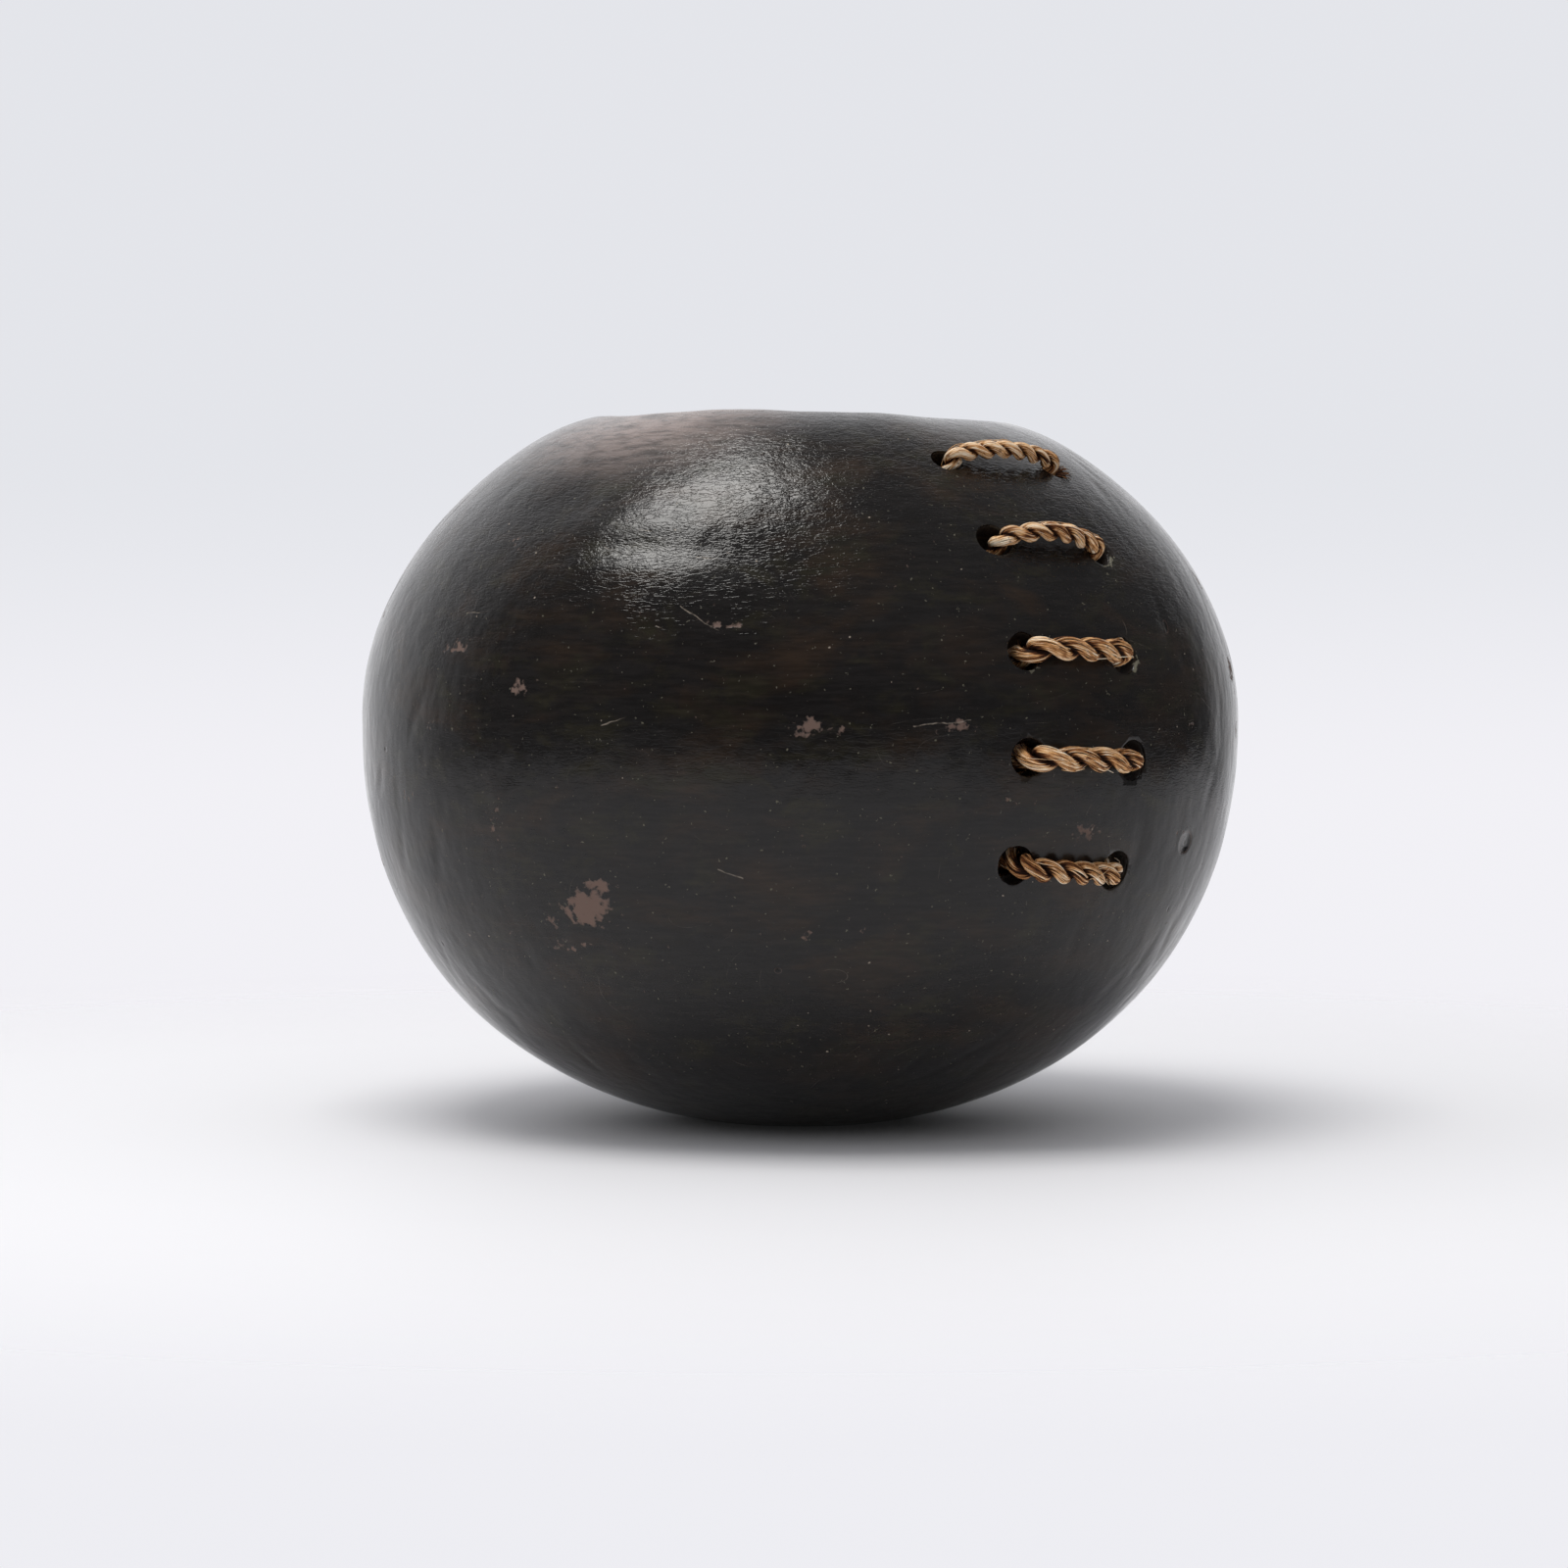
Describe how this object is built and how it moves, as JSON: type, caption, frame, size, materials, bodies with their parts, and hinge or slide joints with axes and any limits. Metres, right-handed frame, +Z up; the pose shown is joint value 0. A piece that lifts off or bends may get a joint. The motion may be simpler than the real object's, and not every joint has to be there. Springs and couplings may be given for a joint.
{
  "type": "dried bottle gourd pot",
  "caption": "Round dark pot made from a dried bottle gourd cut open at the top, with twisted cord ties through drilled holes on one side of its wall.",
  "frame": {"origin": "centre of the flat underside that the pot stands on", "axes": "+Z up through the middle of the mouth; the cord ties are on the front right, 28 to 52 degrees from -Y towards +X"},
  "size_m": [0.2798, 0.2798, 0.2246],
  "materials": {
    "gourd_skin": "oiled and hand polished, almost black with brown mottling, satin to glossy, scratched and speckled",
    "plant_cord": "two-ply twisted plant fibre, straw to reddish brown, dry and matte"
  },
  "bodies": {
    "root": {"gourd_shell": "gourd_skin", "cord_tie_1": "plant_cord", "cord_tie_2": "plant_cord", "cord_tie_3": "plant_cord", "cord_tie_4": "plant_cord", "cord_tie_5": "plant_cord"}
  },
  "joints": []
}
